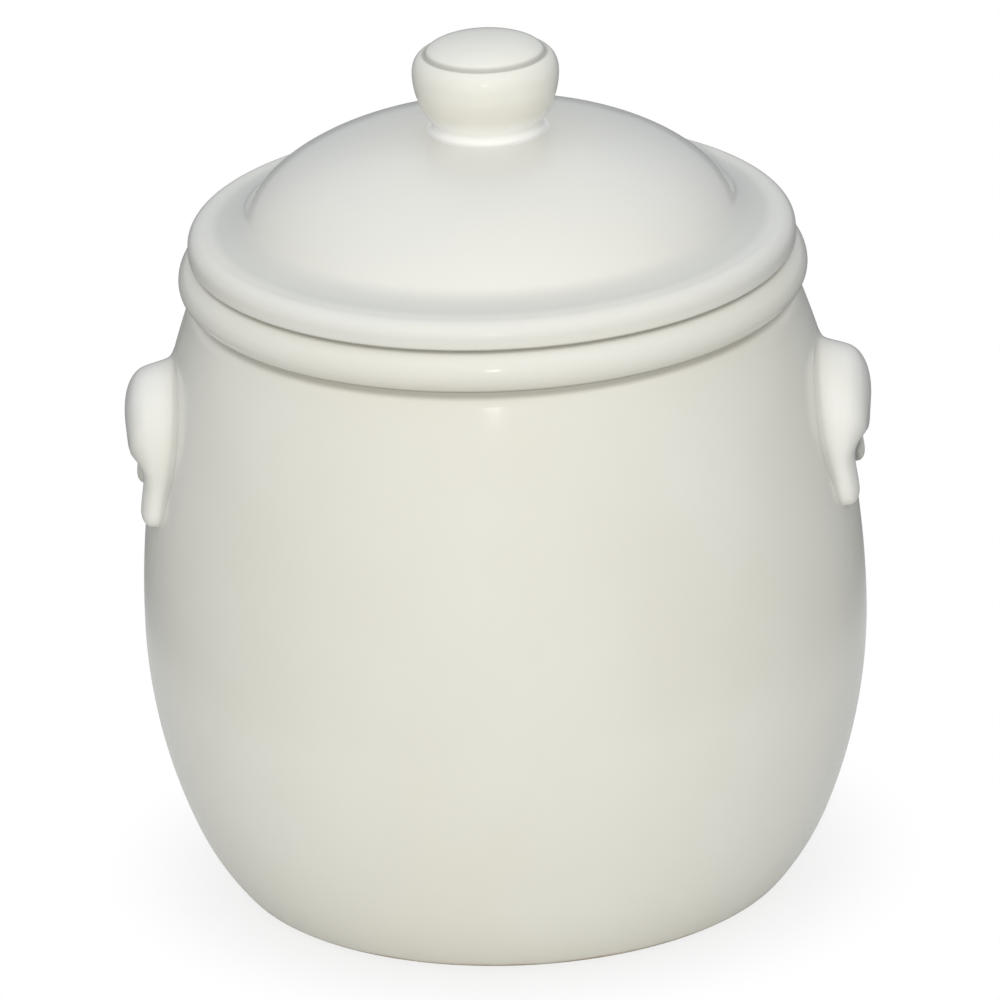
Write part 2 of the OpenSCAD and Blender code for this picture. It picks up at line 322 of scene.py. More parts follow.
def turn_on_wheel(name, profile, turns, closed=True):
    """A smooth piece turned round Z from a profile of (radius, height) points."""
    fresh_start()
    path = [Vector((p[0], 0.0, p[1])) for p in profile]
    if closed:
        path.append(path[0])
    bpy.ops.mesh.primitive_plane_add(size=0.002, location=(0, 0, 0))
    piece = started(name)
    bpy.ops.mesh.merge(type="CENTER")
    bpy.ops.transform.translate(value=path[0])
    for here, there in zip(path, path[1:]):
        bpy.ops.mesh.extrude_region_move(TRANSFORM_OT_translate={"value": there - here})
    bpy.ops.mesh.select_all(action="SELECT")
    bpy.ops.mesh.spin(steps=turns, angle=math.tau, center=(0, 0, 0), axis=(0, 0, 1))
    bpy.ops.mesh.select_all(action="SELECT")
    bpy.ops.mesh.remove_doubles(threshold=2e-6)
    smooth_out(piece, 1)
    return piece


def smooth_out(piece, levels):
    """Ends a piece's editing: normals outward, applied subdivision and smooth shading."""
    bpy.ops.mesh.select_all(action="SELECT")
    bpy.ops.mesh.normals_make_consistent(inside=False)
    bpy.ops.object.mode_set(mode="OBJECT")
    rounder = piece.modifiers.new("Rounder", "SUBSURF")
    rounder.levels = levels
    bpy.ops.object.modifier_apply(modifier=rounder.name)
    bpy.ops.object.shade_smooth()


def hand_over(piece, node, body, finish):
    """Gives a piece its finish and puts it in the place of its node."""
    piece.data.materials.append(finish)
    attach(piece, body)
    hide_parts(node)


# Node helpers

def feed(tree, value, socket):
    """Gives an input its value: another socket, a number or a colour."""
    if hasattr(value, "is_linked"):
        tree.links.new(value, socket)
    elif isinstance(value, (int, float)):
        socket.default_value = value
    else:
        socket.default_value = (*value, 1.0)


def fill(tree, node, **values):
    """Feeds a node's named inputs and returns the node."""
    for name, value in values.items():
        feed(tree, value, node.inputs[name])
    return node


def add(tree, kind, **values):
    """A new node with its named inputs fed."""
    return fill(tree, tree.nodes.new(kind), **values)


def maths(tree, operation, *values):
    """A math node on sockets or numbers; returns its output."""
    node = tree.nodes.new("ShaderNodeMath")
    node.operation = operation
    for value, socket in zip(values, node.inputs):
        feed(tree, value, socket)
    return node.outputs[0]


def times(tree, first, second):
    """The product of two sockets or numbers."""
    return maths(tree, "MULTIPLY", first, second)


def ramp_between(tree, value, low, high, to_low=0.0, to_high=1.0):
    """A smooth step of a value between two limits."""
    limits = {"From Min": low, "From Max": high, "To Min": to_low, "To Max": to_high}
    node = add(tree, "ShaderNodeMapRange", Value=value, **limits)
    node.interpolation_type = "SMOOTHSTEP"
    return node.outputs["Result"]


def mixed(tree, share, first, second):
    """A colour mix of sockets or fixed colours; returns the colour."""
    node = tree.nodes.new("ShaderNodeMix")
    node.data_type = "RGBA"
    for slot, value in ((0, share), (6, first), (7, second)):
        feed(tree, value, node.inputs[slot])
    return node.outputs[2]


def noise(tree, vector, scale, detail):
    """A noise texture's value."""
    node = add(tree, "ShaderNodeTexNoise", Vector=vector, Scale=scale, Detail=detail)
    return node.outputs["Fac"]


def blended(tree, share, plain, bright, end):
    """A mix of two shader nodes, joined to an output node of the kind end."""
    blend = tree.nodes.new("ShaderNodeMixShader")
    for value, socket in zip((share, plain.outputs[0], bright.outputs[0]), blend.inputs):
        feed(tree, value, socket)
    add(tree, end, Surface=blend.outputs["Shader"])


def emptied(owner):
    """The node tree of a new material or world, with no node left in it."""
    owner.use_nodes = True
    owner.node_tree.nodes.clear()
    return owner.node_tree


def new_group(name, inputs, outputs):
    """A shader node group with named sockets: its tree, input node and output node."""
    tree = bpy.data.node_groups.new(name, "ShaderNodeTree")
    for side, sockets in (("INPUT", inputs), ("OUTPUT", outputs)):
        for title, kind in sockets.items():
            tree.interface.new_socket(name=title, in_out=side, socket_type="NodeSocket" + kind)
    return tree, tree.nodes.new("NodeGroupInput"), tree.nodes.new("NodeGroupOutput")


def glaze_clouds():
    """Soft clouds in the glaze, a fine peel and rare specks."""
    tree, given, made = new_group(
        "Glaze clouds", {"Vector": "Vector", "Cream": "Color", "Cloud": "Color"},
        {"Color": "Color", "Roughness": "Float", "Height": "Float"})
    vector = given.outputs["Vector"]
    drift = noise(tree, vector, CLOUDS, 3.0)
    fine = noise(tree, vector, PEEL, 2.0)
    share = ramp_between(tree, drift, 0.30, 0.72)
    tone = mixed(tree, share, given.outputs["Cream"], given.outputs["Cloud"])
    # Iron specks sit in the middle of a few cells of a random pattern
    cells = add(tree, "ShaderNodeTexVoronoi", Vector=vector, Scale=SPECKS)
    pick = add(tree, "ShaderNodeSeparateColor", Color=cells.outputs["Color"])
    rare = maths(tree, "GREATER_THAN", pick.outputs["Red"], SPECK_RARE)
    near = ramp_between(tree, cells.outputs["Distance"], 0.012, 0.032, 1.0, 0.0)
    speck = times(tree, rare, near)
    tint = times(tree, speck, SPECK_SHARE)
    speckled = mixed(tree, tint, tone, SPECK_TONE)
    satin = ramp_between(tree, fine, 0.25, 0.80, *GLAZE_ROUGH)
    # The relief has slow waves of poured glaze, a fine peel and a pit at each speck
    wave = times(tree, noise(tree, vector, WAVES, 1.0), WAVE_HIGH)
    peel = times(tree, fine, PEEL_HIGH)
    pit = times(tree, speck, PIT_HIGH)
    relief = maths(tree, "ADD", maths(tree, "ADD", wave, peel), pit)
    fill(tree, made, Color=speckled, Roughness=satin, Height=relief)


def round_the_axis():
    """Radius from the jar's axis, height and a slow wavering of glaze lines."""
    tree, given, made = new_group("Round the axis", {"Vector": "Vector"},
                                  {"Radius": "Float", "Height": "Float", "Waver": "Float"})
    vector = given.outputs["Vector"]
    parts = add(tree, "ShaderNodeSeparateXYZ", Vector=vector)
    square = maths(tree, "ADD", maths(tree, "POWER", parts.outputs["X"], 2.0),
                   maths(tree, "POWER", parts.outputs["Y"], 2.0))
    waver = maths(tree, "SUBTRACT", noise(tree, vector, WAVER, 3.0), 0.5)
    fill(tree, made, Radius=maths(tree, "SQRT", square), Height=parts.outputs["Z"],
         Waver=times(tree, waver, WAVER_WIDE))


def within():
    """1 where a value lies between two limits, with soft edges."""
    names = ("Value", "Low", "High", "Edge")
    tree, given, made = new_group("Within", dict.fromkeys(names, "Float"), {"Mask": "Float"})
    value, low, high, edge = (given.outputs[name] for name in names)
    rise = ramp_between(tree, value, maths(tree, "SUBTRACT", low, edge), low)
    fall = ramp_between(tree, value, high, maths(tree, "ADD", high, edge), 1.0, 0.0)
    fill(tree, made, Mask=times(tree, rise, fall))


def grog():
    """Colour and height of bare, sandy clay."""
    tree, given, made = new_group("Bare clay", {"Vector": "Vector", "Clay": "Color"},
                                  {"Color": "Color", "Height": "Float"})
    vector = given.outputs["Vector"]
    sand = noise(tree, vector, SAND, 2.0)
    patch = noise(tree, vector, PATCHES, 2.0)
    dark = mixed(tree, ramp_between(tree, sand, 0.35, 0.7), SAND_TONE, given.outputs["Clay"])
    pale = mixed(tree, ramp_between(tree, patch, 0.4, 0.8, 0.0, 0.5), dark, PATCH_TONE)
    fill(tree, made, Color=pale, Height=times(tree, sand, SAND_HIGH))


class Finish:
    """A glazed finish: clouds of glaze, tinted or missing in places."""

    def __init__(self, name, cream, cloud):
        looks = bpy.context.scene.jar_glaze
        self.material = bpy.data.materials.new(name)
        self.material.diffuse_color = (*cream, 1.0)
        self.tree = emptied(self.material)
        place = self.tree.nodes.new("ShaderNodeTexCoord").outputs["Object"]
        self.axis = self.put("Round the axis", Vector=place)
        clouds = self.put("Glaze clouds", Vector=place, Cream=cream, Cloud=cloud)
        self.bare = self.put("Bare clay", Vector=place, Clay=looks.clay)
        self.colour, self.rough, self.height = clouds.outputs

    def put(self, group, **values):
        """A group node with its inputs linked or set."""
        node = self.tree.nodes.new("ShaderNodeGroup")
        node.node_tree = bpy.data.node_groups[group]
        return fill(self.tree, node, **values)

    def ring(self, heights, radii, edge, wavering=False):
        """Mask of a ring of the piece between two heights and two radii, with soft edges."""
        height, radius = self.axis.outputs["Height"], self.axis.outputs["Radius"]
        if wavering:
            height = maths(self.tree, "ADD", height, self.axis.outputs["Waver"])
            radius = maths(self.tree, "ADD", radius, self.axis.outputs["Waver"])
        tall, wide = (self.put("Within", Value=value, Low=low, High=high, Edge=edge)
                      for value, (low, high) in ((height, heights), (radius, radii)))
        return times(self.tree, tall.outputs["Mask"], wide.outputs["Mask"])

    def kept(self, attribute):
        """A value that the piece's mesh keeps at each point."""
        node = self.tree.nodes.new("ShaderNodeAttribute")
        node.attribute_name = attribute
        return node.outputs["Fac"]

    def tint(self, mask, share, tone):
        """Lays a colour over the glaze where the mask is."""
        part = times(self.tree, mask, share)
        self.colour = mixed(self.tree, part, self.colour, tone)

    def strip(self, mask):
        """Leaves bare clay where the mask is."""
        tree = self.tree
        self.colour = mixed(tree, mask, self.colour, self.bare.outputs["Color"])
        left = maths(tree, "SUBTRACT", 1.0, mask)
        glazed = times(tree, self.rough, left)
        self.rough = maths(tree, "MULTIPLY_ADD", mask, CLAY_ROUGH, glazed)
        sand = times(tree, self.bare.outputs["Height"], mask)
        self.height = maths(tree, "ADD", times(tree, self.height, left), sand)

    def fired(self):
        """Joins everything to the shader and returns the material."""
        tree = self.tree
        relief = add(tree, "ShaderNodeBump", Strength=1.0, Distance=MM, Height=self.height)
        shader = add(tree, "ShaderNodeBsdfPrincipled", IOR=1.5, Roughness=self.rough,
                     Normal=relief.outputs["Normal"], **{"Base Color": self.colour})
        add(tree, "ShaderNodeOutputMaterial", Surface=shader.outputs["BSDF"])
        return self.material


# Operators

class JAR_OT_mix_glaze(bpy.types.Operator):
    """Make the node groups that every glazed piece shares"""
    bl_idname = "cookie_jar.mix_glaze"
    bl_label = "Mix Glaze"

    def execute(self, context):
        for build in (glaze_clouds, round_the_axis, within, grog):
            build()
        return {"FINISHED"}


class JAR_OT_throw_pot(bpy.types.Operator):
    """Turn the pot with its foot ring, rolled band and hollow inside"""
    bl_idname = "cookie_jar.throw_pot"
    bl_label = "Throw Pot"

    # Softening of the foot ring's inner corners, of the groove's lip and of its bottom
    FOOT_SOFT, LIP_SOFT, NOTCH_SOFT = 1.2 * MM, 1.5 * MM, 0.4 * MM
    # How far the flank stops short of the groove, and the angle at which the band starts
    LIP_SHORT, BAND_START = 2 * MM, -78

    def profile(self, s):
        """The pot's section: foot, outside, rim and inside."""
        wall = Wall(s)
        heel_a = math.asin((s.heel_z - s.belly_z) / s.low_arc_r)
        heel_n = Vector((math.cos(heel_a), math.sin(heel_a)))
        heel = wall.low_c + s.low_arc_r * heel_n
        to_foot = Vector((s.foot_r, 0.0)) - heel
        foot_arc_r = -to_foot.length_squared / (2 * to_foot.dot(heel_n))
        foot_c = heel - foot_arc_r * heel_n
        lift_a = math.asin((s.foot_round - foot_c.y) / foot_arc_r)
        lift = polar(foot_c, foot_arc_r, lift_a)
        ring_in = s.foot_r - s.foot_ring_w
        under = [(0.0, s.foot_hollow), (ring_in - s.foot_hollow, s.foot_hollow),
                 (ring_in, 0.0), (s.foot_r, 0.0)]
        # The flank stops short of the groove, so that its lip can be softened
        up_a = math.asin((wall.rise - s.groove_w) / wall.up_r)
        wall_end = polar(wall.up_c, wall.up_r, up_a)
        flank = arc(wall.up_c, wall.up_r, 0, math.degrees(up_a - self.LIP_SHORT / wall.up_r), 24)
        band_low_c = Vector((s.band_r - s.band_low_round, wall.band_z))
        band_start = arc(band_low_c, s.band_low_round, self.BAND_START, 0, 10)
        notch = Vector((wall.groove_r - s.groove_cut, wall.groove_z))
        low_in = s.low_arc_r - s.wall_t
        up_in = wall.up_r - s.wall_t
        floor_c_z = s.floor_z + s.floor_round
        floor_c = Vector((wall.low_c.x + math.sqrt((low_in - s.floor_round) ** 2
                                                   - (floor_c_z - s.belly_z) ** 2), floor_c_z))
        floor_a = math.degrees(math.atan2(floor_c.y - wall.low_c.y, floor_c.x - wall.low_c.x))
        neck_a = math.degrees(math.acos((s.mouth_r - wall.up_c.x) / up_in))
        return [
            *spread(under[0], (ring_in - 8 * MM, s.foot_hollow), 4),
            *softened(under[0:3], self.FOOT_SOFT),
            *softened(under[1:4], self.FOOT_SOFT),
            (s.foot_r - s.foot_ring_w / 2, 0.0),
            *bend((s.foot_r - 2.2 * MM, 0.0), (s.foot_r - 0.2 * MM, 0.0), lift, 5),
            *arc(foot_c, foot_arc_r, math.degrees(lift_a), math.degrees(heel_a), 8)[1:],
            *arc(wall.low_c, s.low_arc_r, math.degrees(heel_a), 0, 16)[1:],
            *flank[1:],
            *softened((flank[-1], wall_end, notch), self.LIP_SOFT),
            *softened((wall_end, notch, band_start[0]), self.NOTCH_SOFT),
            *band_start,
            *arc((s.band_r - s.band_top_round, wall.band_z), s.band_top_round, 0, 90, 14)[1:],
            *arc((s.mouth_r + s.mouth_round, s.rim_z - s.mouth_round), s.mouth_round, 90, 180, 6),
            *arc(wall.up_c, up_in, neck_a, 0, 20)[1:],
            *arc(wall.low_c, low_in, 0, floor_a, 14)[1:],
            *arc(floor_c, s.floor_round, floor_a, -90, 10)[1:],
            *spread((floor_c.x, s.floor_z), (0.0, s.floor_z), 5)[1:],
        ]

    def execute(self, context):
        s = context.scene.jar_sizes
        looks = context.scene.jar_glaze
        pot = turn_on_wheel("pot", self.profile(s), s.turns, closed=False)
        wall = Wall(s)
        glaze = Finish("Cream glaze, pot", looks.cream, looks.cloud)
        # Painted shade in the groove under the band
        groove = glaze.ring((wall.groove_z - 0.5 * MM, wall.groove_z + 0.6 * MM),
                            (s.mouth_r + 4 * MM, FAR), 1.5 * MM)
        glaze.tint(groove, 0.62, looks.seam)
        # Painted shade on the band along the gap under the lid's brim
        rim = glaze.ring((s.rim_z - 0.45 * MM, FAR), (s.mouth_r + 3 * MM, FAR), 0.6 * MM)
        glaze.tint(rim, 0.55, looks.seam)
        band = glaze.ring((wall.band_z - 1 * MM, wall.band_z + 3.5 * MM),
                          (s.band_r - 1.5 * MM, FAR), 1.5 * MM)
        glaze.tint(band, 0.35, looks.cloud)
        foot_in = s.foot_r - s.foot_ring_w - 3.5 * MM
        glaze.strip(glaze.ring((-FAR, 1.1 * MM), (foot_in, FAR), 0.5 * MM, wavering=True))
        seat_out = s.band_r - s.band_top_round + 0.3 * MM
        glaze.strip(glaze.ring((s.rim_z - 0.9 * MM, FAR), (0.0, seat_out), 0.4 * MM))
        hand_over(pot, "jar_body", "jar", glaze.fired())
        return {"FINISHED"}


class Arch:
    """The mid line of an ear, given as stations from leg end to leg end.

    A station is its middle (y, z), the direction across, half the width, the reach, and the width
    and thickness of the smear as shares of their full size.
    """
    # Rise of the mid line as a share of the ear's height, and where the legs swell into the crown
    RISE, SWELL_BELOW, SWELL_RUN, SPLAY = 11 / 42.4, 5 * MM, 11.2 * MM, 1 * MM

    def __init__(self, s, e):
        self.e = e
        self.wall = Wall(s)
        top_z = self.wall.groove_z - e.drop
        self.crown_z = top_z - e.crown_t / 2
        self.leg_y = (e.width - e.leg_w) / 2
        self.rise = self.RISE * e.height
        self.spring_z = self.crown_z - self.rise
        self.end_r = e.leg_end_w / 2
        self.end_z = top_z - e.height + self.end_r

    def swell(self, z):
        """0 on the legs and 1 on the crown."""
        return smooth_step((z - (self.spring_z - self.SWELL_BELOW)) / self.SWELL_RUN)

    def reach(self, z):
        """How far the ear's middle stands out at a height."""
        return self.e.leg_reach + (self.e.reach - self.e.leg_reach) * self.swell(z)

    def lean(self, z):
        """What the upright lean of the crown adds at a height."""
        return self.e.lean * (z - self.crown_z) * self.swell(z)

    def leg(self, side, t):
        """A station on a leg, t from 0 under the arch to 1 at its end."""
        z = self.spring_z + (self.end_z - self.spring_z) * t
        middle = Vector((side * (self.leg_y + self.SPLAY * t), z))
        half = (self.e.leg_w + (self.e.leg_end_w - self.e.leg_w) * t) / 2
        return middle, Vector((side, 0.0)), half, self.reach(z), 1.0 - 0.6 * smooth_step(t), 1.0

    def tip(self, side, a):
        """A station on the round end of a leg."""
        down, left = math.sin(math.radians(a)), math.cos(math.radians(a))
        middle = Vector((side * (self.leg_y + self.SPLAY), self.end_z - self.end_r * down))
        out, lay = self.e.leg_reach * left ** 0.75, 0.05 + 0.35 * left
        return middle, Vector((side, 0.0)), self.end_r * left, out, lay, left

    def skirt(self, side, drop, half, lift):
        """A station below a leg, where its smear runs out."""
        middle = Vector((side * (self.leg_y + self.SPLAY), self.end_z - self.end_r - drop))
        return middle, Vector((side, 0.0)), half, lift, 0.04, 0.0

    def arch(self, a):
        """A station on the arch, a from -90 to 90 degrees."""
        turn = math.radians(a)
        middle = Vector((self.leg_y * math.sin(turn), self.spring_z + self.rise * math.cos(turn)))
        across = Vector((math.sin(turn) / self.leg_y, math.cos(turn) / self.rise)).normalized()
        high = math.cos(turn) ** 2
        half = self.e.leg_w / 2 + (self.e.crown_t - self.e.leg_w) / 2 * high
        return middle, across, half, self.reach(middle.y), 1.0 - 0.4 * high, 1.0 + 1.0 * high

    def stations(self):
        """All stations of the ear."""
        def half_ear(side):
            return [*[self.leg(side, i / 5) for i in range(1, 6)],
                    *[self.tip(side, a) for a in (22, 42, 58, 70, 79)],
                    self.skirt(side, 0.1 * MM, 0.5 * MM, 0.1 * MM),
                    self.skirt(side, 0.6 * MM, 0.3 * MM, -0.2 * MM)]
        over = [self.arch(-90 + 180 * i / 28) for i in range(29)]
        return [*reversed(half_ear(-1)), *over, *half_ear(1)]


class JAR_OT_press_ears(bpy.types.Operator):
    """Press an arched coil of clay against each side of the pot"""
    bl_idname = "cookie_jar.press_ears"
    bl_label = "Press Ears"

    def section(self, e, arch, side, station):
        """A closed ring of points round the coil, each with how raised and how far inward it is."""
        middle, across, half, out, lay, thickness = station
        thick = e.smear_t * thickness

        def flap(wide):
            return [(half + wide, -0.10 * MM, 0.0),
                    (half + 0.88 * wide, 0.01 * MM, 0.06),
                    (half + 0.66 * wide, 0.16 * thick, 0.16),
                    (half + 0.42 * wide, 0.48 * thick, 0.30),
                    (half + 0.18 * wide, thick + 0.02 * out, 0.45)]

        crest = [(half * math.cos(a), math.sin(a) ** e.square)
                 for a in map(math.radians, range(18, 163, 12))]
        wide, narrow = e.smear * lay, 0.15 * e.smear * lay
        over = [(along, lift, 0.0, raised) for along, lift, raised in flap(wide)]
        over += [(along, out * share, share, 0.5 + 0.5 * share) for along, share in crest]
        over += [(-along, lift, 0.0, raised) for along, lift, raised in reversed(flap(narrow))]
        over += [((half + wide) * t / 6 - (half + narrow) * (1 - t / 6), -0.9 * MM, 0.0, 0.0)
                 for t in range(1, 6)]
        cos, sin = math.cos(e.lead), math.sin(e.lead)
        ring = []
        for along, lift, share, raised in over:
            y, z = middle + across * along
            x = math.sqrt(arch.wall.radius(z) ** 2 - y * y) + lift + arch.lean(z) * share
            inner = min(1.0, max(0.0, -along / half))
            point = Vector((side * (x * cos + y * sin), y * cos - x * sin, z))
            ring.append((point, raised, inner))
        return ring

    def press(self, s, e, side, name):
        """One ear: a disc at a leg end, drawn out ring by ring to the other leg end."""
        arch = Arch(s, e)
        rings = [self.section(e, arch, side, station) for station in arch.stations()]
        fresh_start()
        bpy.ops.mesh.primitive_circle_add(vertices=len(rings[0]), radius=0.01, fill_type="NGON",
                                          location=(0, 0, 0))
        ear = started(name)
        layers = bmesh.from_edit_mesh(ear.data).verts.layers.float
        layers.new("raised")
        layers.new("inner")
        for step, ring in enumerate(rings):
            if step:
                bpy.ops.mesh.extrude_region_move(TRANSFORM_OT_translate={"value": (0, 0, 0)})
            mesh = bmesh.from_edit_mesh(ear.data)
            layers = mesh.verts.layers.float
            face = next(f for f in mesh.faces if f.select)
            for corner, (point, raised, inner) in zip(face.verts, ring):
                corner.co = point
                corner[layers["raised"]] = raised
                corner[layers["inner"]] = inner
            bmesh.update_edit_mesh(ear.data)
        smooth_out(ear, 2)
        return ear

    def execute(self, context):
        s, e = context.scene.jar_sizes, context.scene.jar_ears
        looks = context.scene.jar_glaze
        # The ears' glaze is near white: painted light for the strong light that falls on them
        glaze = Finish("Cream glaze, ears", looks.painted_light_cream, looks.cloud)
        raised = glaze.kept("raised")
        # The smear takes the pot's cream, with painted shade along its outer edge
        glaze.tint(ramp_between(glaze.tree, raised, 0.25, 0.70, 1.0, 0.0), 1.0, looks.cream)
        glaze.tint(ramp_between(glaze.tree, raised, 0.04, 0.22, 1.0, 0.0), 0.5, looks.painted_shade_soft)
        # Painted shade in the recess under the crown and on the legs' inner faces
        glaze.tint(ramp_between(glaze.tree, glaze.kept("inner"), 0.35, 0.95), 0.7, looks.seam)
        finish = glaze.fired()
        for side, name, node in ((-1, "ear_left", "left_ear"), (1, "ear_right", "right_ear")):
            hand_over(self.press(s, e, side, name), node, "jar", finish)
        return {"FINISHED"}


class JAR_OT_throw_lid(bpy.types.Operator):
    """Turn the lid with its rolled brim, valley and dome"""
    bl_idname = "cookie_jar.throw_lid"
    bl_label = "Throw Lid"

    def execute(self, context):
        s, d = context.scene.jar_sizes, context.scene.jar_lid
        looks = context.scene.jar_glaze
        top_c = Vector((d.lid_r - d.edge_top, s.rim_z + d.edge_t - d.edge_top))
        low_c = Vector((d.lid_r - d.edge_low, s.rim_z + d.edge_low))
        edge = [*arc(top_c, d.edge_top, 90, 0, 14), *arc(low_c, d.edge_low, 0, -90, 8)]
        spring = Vector((0.0, s.rim_z + d.dome_spring))
        seat_a = dome_angle(d.seat_r / d.dome_r, d.dome_full)
        # The dome ends at this angle of its curve, and the valley goes on along its slope
        end_a = 17
        dome = dome_curve(spring, d.dome_r, d.dome_h, d.dome_full, seat_a, end_a, 26)
        seat_z = seat_height(s, d)
        slope = math.radians(end_a)
        run = d.dome_r * 2 / d.dome_full * math.cos(slope) ** (2 / d.dome_full - 1)
        fall = Vector((run * math.sin(slope), -d.dome_h * math.cos(slope))).normalized()
        valley = bend(dome[-1], dome[-1] + d.valley_pull * fall, edge[0], 12)
        hollow_r = d.dome_r - d.dome_foot_t
        hollow_c = Vector((0.0, s.rim_z + d.hollow_lip))
        hollow_h = seat_z - d.dome_t - hollow_c.y
        vent_a = dome_angle(d.vent_r / hollow_r, d.dome_full)
        hollow = dome_curve(hollow_c, hollow_r, hollow_h, d.dome_full, 0, vent_a, 26)
        under = [edge[-1], (hollow_r, s.rim_z), hollow[0]]
        profile = [
            (d.vent_r, seat_z - 0.8 * MM),
            (d.vent_r + 0.3 * MM, seat_z - 0.1 * MM),
            (d.vent_r + 1 * MM, seat_z),
            *spread((d.seat_r / 2, seat_z), (d.seat_r - 0.6 * MM, seat_z), 3),
            *dome[1:], *valley[1:], *edge[1:],
            *spread(edge[-1], (hollow_r + 3 * MM, s.rim_z), 3)[1:],
            *softened(under, 1.0 * MM),
            *hollow[1:],
        ]
        lid = turn_on_wheel("lid_dome", profile, s.turns)
        glaze = Finish("Cream glaze, lid", looks.lid_cream, looks.cloud)
        # Painted shade in the valley round the dome
        valley_z = min(p.y for p in valley)
        low = glaze.ring((0.0, valley_z + 1.2 * MM), (d.dome_r - 4 * MM, d.dome_r + 5 * MM), 4 * MM)
        glaze.tint(low, 0.55, looks.painted_shade_soft)
        # The pale ring round the knob's seat is pooled glaze with a painted highlight
        white = glaze.ring((seat_z - 1.5 * MM, FAR), (d.seat_r - 3 * MM, d.seat_r - 0.9 * MM),
                           0.8 * MM, wavering=True)
        glaze.tint(white, 0.7, looks.painted_light_cream)
        # Painted shade on the underside of the brim's edge, along the gap over the band
        lip = glaze.ring((0.0, s.rim_z + 0.5 * MM), (d.lid_r - 2 * MM, FAR), 0.5 * MM)
        glaze.tint(lip, 0.6, looks.seam)
        glaze.strip(glaze.ring((s.rim_z - 1 * MM, s.rim_z + 0.5 * MM),
                               (s.mouth_r - d.lid_play, low_c.x - 2.5 * MM), 0.4 * MM))
        hand_over(lid, "lid", "cover", glaze.fired())
        return {"FINISHED"}


class JAR_OT_set_ring(bpy.types.Operator):
    """Turn the ring under the lid that keeps it in the mouth"""
    bl_idname = "cookie_jar.set_ring"
    bl_label = "Set Locating Ring"

    def execute(self, context):
        s, d = context.scene.jar_sizes, context.scene.jar_lid
        looks = context.scene.jar_glaze
        outer = s.mouth_r - d.lid_play
        inner = outer - d.flange_t
        half = d.flange_t / 2
        low_c = Vector((outer - half, s.rim_z - d.flange_h + half))
        profile = [
            *spread((inner, s.rim_z), (outer, s.rim_z), 3),
            *spread((outer, s.rim_z - 0.8 * MM), (outer, low_c.y), 3),
            *arc(low_c, half, 0, -180, 16)[1:],
            *spread((inner, low_c.y), (inner, s.rim_z - 0.8 * MM), 3)[1:],
        ]
        ring = turn_on_wheel("locating_ring", profile, s.turns)
        glaze = Finish("Cream glaze, ring", looks.lid_cream, looks.cloud)
        glaze.strip(glaze.ring((low_c.y - half, low_c.y + 3 * MM), (outer - 0.4 * MM, FAR),
                               0.4 * MM, wavering=True))
        hand_over(ring, "lid_flange", "cover", glaze.fired())
        return {"FINISHED"}


class JAR_OT_throw_knob(bpy.types.Operator):
    """Turn the knob with its flared foot, shoulder and domed button"""
    bl_idname = "cookie_jar.throw_knob"
    bl_label = "Throw Knob"

    def execute(self, context):
        s, d = context.scene.jar_sizes, context.scene.jar_lid
        looks = context.scene.jar_glaze
        seat_z = seat_height(s, d)
        belly_z = seat_z + d.knob_belly_h
        flank_c = Vector((d.knob_r - d.knob_flank_r, belly_z))
        foot_dz = d.knob_foot_round - d.knob_belly_h
        foot_dx = math.sqrt((d.knob_flank_r + d.knob_foot_round) ** 2 - foot_dz ** 2)
        foot_c = Vector((flank_c.x + foot_dx, seat_z + d.knob_foot_round))
        flank_a = math.degrees(math.atan2(foot_dz, foot_c.x - flank_c.x))
        shoulder_c = Vector((d.knob_r - d.knob_shoulder_r, belly_z))
        shoulder = dome_curve(shoulder_c, d.knob_shoulder_r, d.knob_shoulder_h, d.shoulder_full,
                              0, 72, 14)
        button_r = shoulder[-1].x - 0.6 * MM
        button_z = shoulder[-1].y - d.button_groove
        hollow_c = Vector((0.0, seat_z + d.knob_hollow_h - d.knob_hollow_r))
        inner = d.knob_hollow_r
        mouth = [(inner, seat_z + 5 * MM), (inner, seat_z), (foot_c.x, seat_z)]
        profile = [
            (inner, seat_z + 1 * MM),
            *softened(mouth, 0.6 * MM),
            *spread((inner + 2 * MM, seat_z), (foot_c.x - 1 * MM, seat_z), 3),
            *arc(foot_c, d.knob_foot_round, 270, 180 + flank_a, 8),
            *arc(flank_c, d.knob_flank_r, flank_a, 0, 14)[1:],
            *shoulder[1:],
            (button_r + 0.2 * MM, button_z + 0.05 * MM),
            *dome_curve((0.0, button_z), button_r, d.button_h, d.button_full, 3, 90, 16),
            *arc(hollow_c, inner, 90, 0, 10),
            *spread((inner, hollow_c.y), (inner, seat_z + 2.5 * MM), 4)[1:],
        ]
        knob = turn_on_wheel("knob", profile, s.turns)
        glaze = Finish("Cream glaze, knob", looks.knob_cream, looks.cloud)
        # The pale ring at the knob's foot is pooled glaze with a painted highlight
        foot = glaze.ring((seat_z, seat_z + 3.5 * MM), (0.0, FAR), 4.5 * MM, wavering=True)
        glaze.tint(foot, 0.75, looks.painted_light_cream)
        # A painted reflection of the lid, as a darker band on the knob's lower flank
        flank = glaze.ring((seat_z + 9 * MM, seat_z + 11 * MM), (0.0, FAR), 4 * MM)
        glaze.tint(flank, 0.75, looks.cream)
        # Painted shade in the ring round the button
        ring = glaze.ring((button_z - 1 * MM, button_z + 1 * MM), (button_r, button_r + 0.2 * MM),
                          1.2 * MM)
        glaze.tint(ring, 0.62, looks.seam)
        hand_over(knob, "lid_knob", "cover", glaze.fired())
        return {"FINISHED"}


